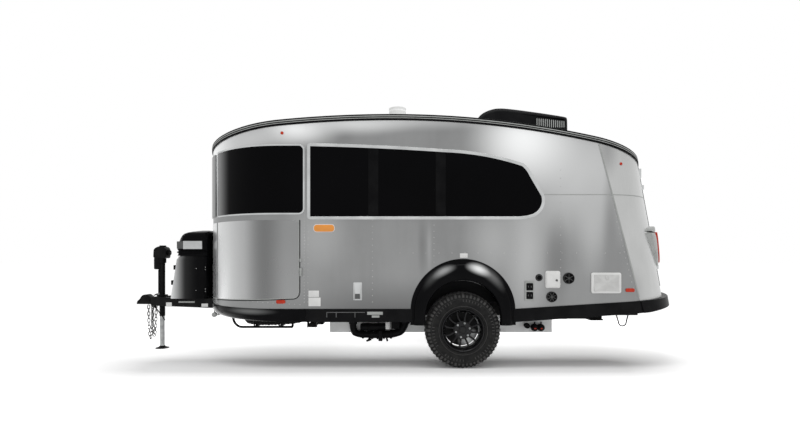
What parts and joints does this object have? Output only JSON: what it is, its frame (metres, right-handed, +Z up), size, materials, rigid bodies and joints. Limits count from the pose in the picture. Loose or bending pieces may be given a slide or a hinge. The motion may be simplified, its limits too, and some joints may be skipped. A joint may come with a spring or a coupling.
{
  "type": "single-axle travel caravan",
  "caption": "Aluminium travel caravan with rounded nose, wraparound windows, drop-shaped side window, flared wheel arches, tongue jack and roof air conditioner.",
  "frame": {"origin": "on the floor under the middle of the caravan's box", "axes": "+X along the length towards the rear, coupler at -X; +Y towards the entry-door side; +Z up"},
  "size_m": [6.151, 2.13, 2.78],
  "materials": {
    "aluminium_skin": "brushed",
    "roof_skin": "satin",
    "polished_trim": "polished",
    "dark_trim": "satin",
    "window_glass": "dark tinted gloss",
    "black_steel": "satin black",
    "zinc_steel": "galvanised",
    "tyre_rubber": "rubber",
    "dark_rim": "gloss dark",
    "black_plastic": "satin black",
    "white_steel": "white enamel",
    "white_plastic": "white moulded",
    "orange_plate": "gloss",
    "lamp_red": "clear red",
    "floor_board": "board",
    "step_aluminium": "ribbed"
  },
  "bodies": {
    "chassis": {"air_conditioner": "black_plastic", "axle": "black_steel", "badge": "orange_plate", "bottle_cover": "black_plastic", "coupler": "black_steel", "cross_members": "black_steel", "drain_pipes": "black_plastic", "floor": "floor_board", "frame_rail_left": "black_steel", "frame_rail_right": "black_steel", "front_glass": "window_glass", "gas_bottles": "white_steel", "jack_housing": "black_steel", "nose_wall": "aluminium_skin", "panel_hinges": "black_steel", "rear_hoop": "black_steel", "rear_wall": "aluminium_skin", "roof_edge_rail": "dark_trim", "roof_panel": "roof_skin", "roof_vents": "white_plastic", "safety_chains": "zinc_steel", "side_glass": "window_glass", "side_skirts": "dark_trim", "side_wall_left": "aluminium_skin", "side_wall_right": "aluminium_skin", "skirt_front": "dark_trim", "skirt_rear": "dark_trim", "spare_carrier": "black_steel", "spare_wheel": "tyre_rubber", "stone_guards": "polished_trim", "tail_lamps": "lamp_red", "tank_enclosures": "zinc_steel", "tongue_rail_left": "black_steel", "tongue_rail_right": "black_steel", "underbody_brackets": "black_steel", "wall_inlets": "white_plastic", "wheel_flares": "dark_trim", "wheel_wells": "dark_trim", "window_dividers": "dark_trim", "window_surrounds": "polished_trim"},
    "wheel_left": {"tyre_left": "tyre_rubber", "rim_left": "dark_rim"},
    "wheel_right": {"tyre_right": "tyre_rubber", "rim_right": "dark_rim"},
    "door": {"entry_door": "aluminium_skin", "door_glass": "window_glass", "door_fittings": "black_steel"},
    "hatch": {"rear_hatch": "aluminium_skin", "hatch_glass": "window_glass"},
    "jack_foot": {"jack_leg": "zinc_steel"},
    "bottle_lid": {"bottle_lid": "black_plastic"},
    "access_lid": {"access_lid": "white_plastic"},
    "inlet_lid": {"inlet_lid": "white_plastic"},
    "fan_lid": {"fan_lid": "white_plastic"},
    "step": {"entry_step": "step_aluminium"},
    "stab_front_left": {"stabiliser_front_left": "black_steel"},
    "stab_front_right": {"stabiliser_front_right": "black_steel"},
    "stab_rear_left": {"stabiliser_rear_left": "black_steel"},
    "stab_rear_right": {"stabiliser_rear_right": "black_steel"}
  },
  "joints": [
    {"name": "wheel_left_spin", "type": "hinge", "parent": "chassis", "child": "wheel_left", "pos_m": [0.7, -0.927, 0.372], "axis": [0, 1, 0], "continuous": true},
    {"name": "wheel_right_spin", "type": "hinge", "parent": "chassis", "child": "wheel_right", "pos_m": [0.7, 0.927, 0.372], "axis": [0, 1, 0], "continuous": true},
    {"name": "door_swing", "type": "hinge", "parent": "chassis", "child": "door", "pos_m": [-0.8025, 1.03, 1.5], "axis": [0, 0, 1], "range_deg": [0, 110]},
    {"name": "hatch_lift", "type": "hinge", "parent": "chassis", "child": "hatch", "pos_m": [2.77435, 0, 1.9775], "axis": [0, -1, 0], "range_deg": [0, 85]},
    {"name": "jack_extend", "type": "slide", "parent": "chassis", "child": "jack_foot", "axis": [0, 0, -1], "range_m": [-0.29, 0.17]},
    {"name": "bottle_lid_tip", "type": "hinge", "parent": "chassis", "child": "bottle_lid", "pos_m": [-2.4606, 0, 1.105], "axis": [0, -1, 0], "range_deg": [0, 58]},
    {"name": "access_drop", "type": "hinge", "parent": "chassis", "child": "access_lid", "pos_m": [2.1035, -1.037, 0.734], "axis": [1, 0, 0], "range_deg": [0, 100]},
    {"name": "inlet_swing", "type": "hinge", "parent": "chassis", "child": "inlet_lid", "pos_m": [1.505, -1.037, 0.8715], "axis": [0, 0, -1], "range_deg": [0, 120]},
    {"name": "fan_lid_lift", "type": "hinge", "parent": "chassis", "child": "fan_lid", "pos_m": [-0.395, 0, 2.545], "axis": [0, 1, 0], "range_deg": [0, 70]},
    {"name": "step_slide", "type": "slide", "parent": "chassis", "child": "step", "axis": [0, 1, 0], "range_m": [0, 0.2]},
    {"name": "stab_front_left_drop", "type": "hinge", "parent": "chassis", "child": "stab_front_left", "pos_m": [-0.809, -0.86, 0.4], "axis": [-1, 0, 0], "range_deg": [0, 70]},
    {"name": "stab_front_right_drop", "type": "hinge", "parent": "chassis", "child": "stab_front_right", "pos_m": [-0.809, 0.86, 0.4], "axis": [1, 0, 0], "range_deg": [0, 70]},
    {"name": "stab_rear_left_drop", "type": "hinge", "parent": "chassis", "child": "stab_rear_left", "pos_m": [1.73, -0.86, 0.488], "axis": [0, 1, 0], "range_deg": [0, 75]},
    {"name": "stab_rear_right_drop", "type": "hinge", "parent": "chassis", "child": "stab_rear_right", "pos_m": [1.73, 0.86, 0.488], "axis": [0, 1, 0], "range_deg": [0, 75]}
  ]
}
